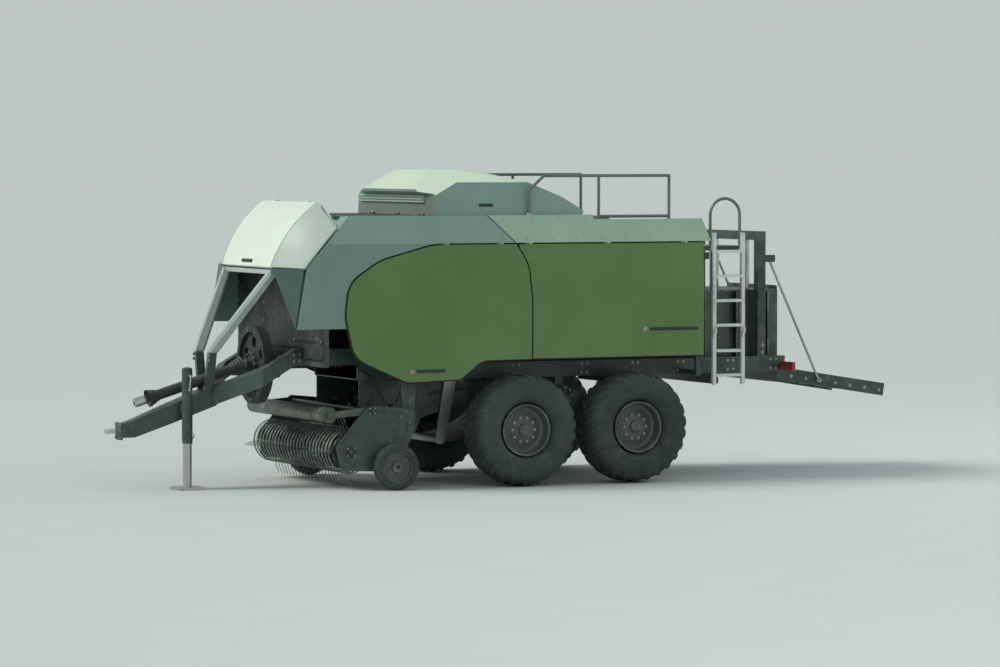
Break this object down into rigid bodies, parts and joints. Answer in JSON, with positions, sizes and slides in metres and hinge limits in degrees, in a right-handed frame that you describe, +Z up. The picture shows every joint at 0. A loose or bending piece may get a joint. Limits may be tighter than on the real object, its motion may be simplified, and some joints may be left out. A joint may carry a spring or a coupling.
{
  "type": "large square baler",
  "caption": "Towed large square baler on tandem wheels: open nose arms, crowned side doors, raised knotter cowl with railings, tined pickup, flywheel drive, side ladder and folding bale chute.",
  "frame": {"origin": "on the ground under the middle of the machine's bounding box", "axes": "+X the way it is towed, +Y its left side, +Z up"},
  "size_m": [9.3, 2.95, 3.4688],
  "materials": {
    "frame_grey": "satin",
    "body_white": "gloss",
    "white_metal": "gloss",
    "body_light_grey": "gloss",
    "body_green": "gloss",
    "plate_steel": "satin",
    "bright_steel": "satin",
    "galvanised": "satin",
    "black_plastic": "matte",
    "tyre_rubber": "matte",
    "twine": "matte",
    "lamp_red": "gloss"
  },
  "bodies": {
    "chassis": {"main_frame": "frame_grey", "drawbar": "frame_grey", "jack_sleeve": "frame_grey", "front_bulkhead": "frame_grey", "gearbox": "frame_grey", "body_frame": "frame_grey", "roof_deck": "frame_grey", "axle_beam": "frame_grey", "rockers": "frame_grey", "density_frame": "frame_grey", "feed_housing": "frame_grey", "platform": "frame_grey", "corner_panels": "body_white", "nose_arms": "white_metal", "hood_bow": "white_metal", "ladder": "white_metal", "side_panels": "body_light_grey", "nose_cheeks": "body_light_grey", "front_shoulders": "body_light_grey", "rear_shoulders": "body_light_grey", "chamber_floor": "plate_steel", "chamber_sides": "plate_steel", "chamber_roof": "plate_steel", "twine_racks": "plate_steel", "tow_eye": "bright_steel", "knotters": "bright_steel", "density_rams": "bright_steel", "railings": "galvanised", "drive_guard": "black_plastic", "twine_balls": "twine", "tail_lamps": "lamp_red"},
    "jack": {"jack_leg": "bright_steel"},
    "hood": {"front_hood": "body_white"},
    "cowl": {"knotter_cowl": "body_white", "cowl_grille": "black_plastic"},
    "pickup": {"pickup_frame": "frame_grey", "pickup_bands": "plate_steel"},
    "reel": {"pickup_reel": "plate_steel"},
    "flywheel": {"flywheel": "frame_grey"},
    "drive_shaft": {"drive_shaft": "bright_steel"},
    "door_front_left": {"door_front_left": "body_green"},
    "door_front_right": {"door_front_right": "body_green"},
    "door_rear_left": {"door_rear_left": "body_green"},
    "door_rear_right": {"door_rear_right": "body_green"},
    "ladder_foot": {"ladder_foot": "white_metal"},
    "plunger": {"plunger": "frame_grey"},
    "needles": {"needles": "bright_steel"},
    "feed_rotor": {"feed_rotor": "plate_steel"},
    "wind_guard": {"wind_guard": "plate_steel"},
    "press_roller": {"press_roller": "plate_steel"},
    "gauge_left": {"gauge_left": "tyre_rubber"},
    "gauge_right": {"gauge_right": "tyre_rubber"},
    "wheel_front_left": {"wheel_front_left": "tyre_rubber"},
    "wheel_front_right": {"wheel_front_right": "tyre_rubber"},
    "wheel_rear_left": {"wheel_rear_left": "tyre_rubber"},
    "wheel_rear_right": {"wheel_rear_right": "tyre_rubber"},
    "chute": {"chute": "frame_grey"},
    "chute_struts": {"chute_struts": "galvanised"}
  },
  "joints": [
    {"name": "jack_slide", "type": "slide", "parent": "chassis", "child": "jack", "axis": [0, 0, 1], "range_m": [0, 0.45]},
    {"name": "flywheel_spin", "type": "hinge", "parent": "chassis", "child": "flywheel", "pos_m": [2.9, 0, 1.33], "axis": [1, 0, 0], "continuous": true},
    {"name": "drive_shaft_spin", "type": "hinge", "parent": "chassis", "child": "drive_shaft", "pos_m": [3.03, 0, 1.33], "axis": [0.9563, 0, -0.2924], "continuous": true},
    {"name": "hood_lift", "type": "hinge", "parent": "chassis", "child": "hood", "pos_m": [2.455, 0, 3.12], "axis": [0, -1, 0], "range_deg": [0, 60]},
    {"name": "cowl_lift", "type": "hinge", "parent": "chassis", "child": "cowl", "pos_m": [1.23, 0, 2.985], "axis": [0, 1, 0], "range_deg": [0, 55]},
    {"name": "door_front_left_lift", "type": "hinge", "parent": "chassis", "child": "door_front_left", "pos_m": [0.93, 1.3, 2.662], "axis": [1, 0, 0], "range_deg": [0, 90]},
    {"name": "door_front_right_lift", "type": "hinge", "parent": "chassis", "child": "door_front_right", "pos_m": [0.93, -1.3, 2.662], "axis": [-1, 0, 0], "range_deg": [0, 90]},
    {"name": "door_rear_left_lift", "type": "hinge", "parent": "chassis", "child": "door_rear_left", "pos_m": [-0.7, 1.3, 2.662], "axis": [1, 0, 0], "range_deg": [0, 90]},
    {"name": "door_rear_right_lift", "type": "hinge", "parent": "chassis", "child": "door_rear_right", "pos_m": [-0.7, -1.3, 2.662], "axis": [-1, 0, 0], "range_deg": [0, 90]},
    {"name": "ladder_fold", "type": "hinge", "parent": "chassis", "child": "ladder_foot", "pos_m": [-2.27, 1.332, 1.645], "axis": [1, 0, 0], "range_deg": [0, 170]},
    {"name": "plunger_stroke", "type": "slide", "parent": "chassis", "child": "plunger", "axis": [-1, 0, 0], "range_m": [0, 0.7]},
    {"name": "needle_lift", "type": "hinge", "parent": "chassis", "child": "needles", "pos_m": [0.8, 0, 1.48], "axis": [0, 1, 0], "range_deg": [0, 73]},
    {"name": "rotor_spin", "type": "hinge", "parent": "chassis", "child": "feed_rotor", "pos_m": [1.56, 0, 0.8], "axis": [0, 1, 0], "continuous": true},
    {"name": "pickup_lift", "type": "hinge", "parent": "chassis", "child": "pickup", "pos_m": [1.56, 0, 0.8], "axis": [0, -1, 0], "range_deg": [0, 18]},
    {"name": "reel_spin", "type": "hinge", "parent": "pickup", "child": "reel", "pos_m": [2.25, 0, 0.42], "axis": [0, 1, 0], "continuous": true},
    {"name": "wind_guard_lift", "type": "hinge", "parent": "pickup", "child": "wind_guard", "pos_m": [2, 0, 0.86], "axis": [0, -1, 0], "range_deg": [0, 8]},
    {"name": "press_roller_spin", "type": "hinge", "parent": "wind_guard", "child": "press_roller", "pos_m": [2.482, 0, 0.823], "axis": [0, 1, 0], "continuous": true},
    {"name": "gauge_left_spin", "type": "hinge", "parent": "pickup", "child": "gauge_left", "pos_m": [1.76, 1.261, 0.252], "axis": [0, 1, 0], "continuous": true},
    {"name": "gauge_right_spin", "type": "hinge", "parent": "pickup", "child": "gauge_right", "pos_m": [1.76, -1.261, 0.252], "axis": [0, 1, 0], "continuous": true},
    {"name": "wheel_front_left_spin", "type": "hinge", "parent": "chassis", "child": "wheel_front_left", "pos_m": [0.27, 1.225, 0.62], "axis": [0, 1, 0], "continuous": true},
    {"name": "wheel_front_right_spin", "type": "hinge", "parent": "chassis", "child": "wheel_front_right", "pos_m": [0.27, -1.225, 0.62], "axis": [0, 1, 0], "continuous": true},
    {"name": "wheel_rear_left_spin", "type": "hinge", "parent": "chassis", "child": "wheel_rear_left", "pos_m": [-1.09, 1.225, 0.62], "axis": [0, 1, 0], "continuous": true},
    {"name": "wheel_rear_right_spin", "type": "hinge", "parent": "chassis", "child": "wheel_rear_right", "pos_m": [-1.09, -1.225, 0.62], "axis": [0, 1, 0], "continuous": true},
    {"name": "chute_fold", "type": "hinge", "parent": "chassis", "child": "chute", "pos_m": [-3.35, 0, 1.11], "axis": [0, 1, 0], "range_deg": [0, 98]},
    {"name": "chute_strut_swing", "type": "hinge", "parent": "chassis", "child": "chute_struts", "pos_m": [-3.12, 0, 2.45], "axis": [0, 1, 0], "range_deg": [-10, 0]}
  ],
  "couplings": [
    {"joint": "drive_shaft_spin", "follows": "flywheel_spin", "ratio": 1},
    {"joint": "chute_strut_swing", "follows": "chute_fold", "ratio": -0.1}
  ]
}
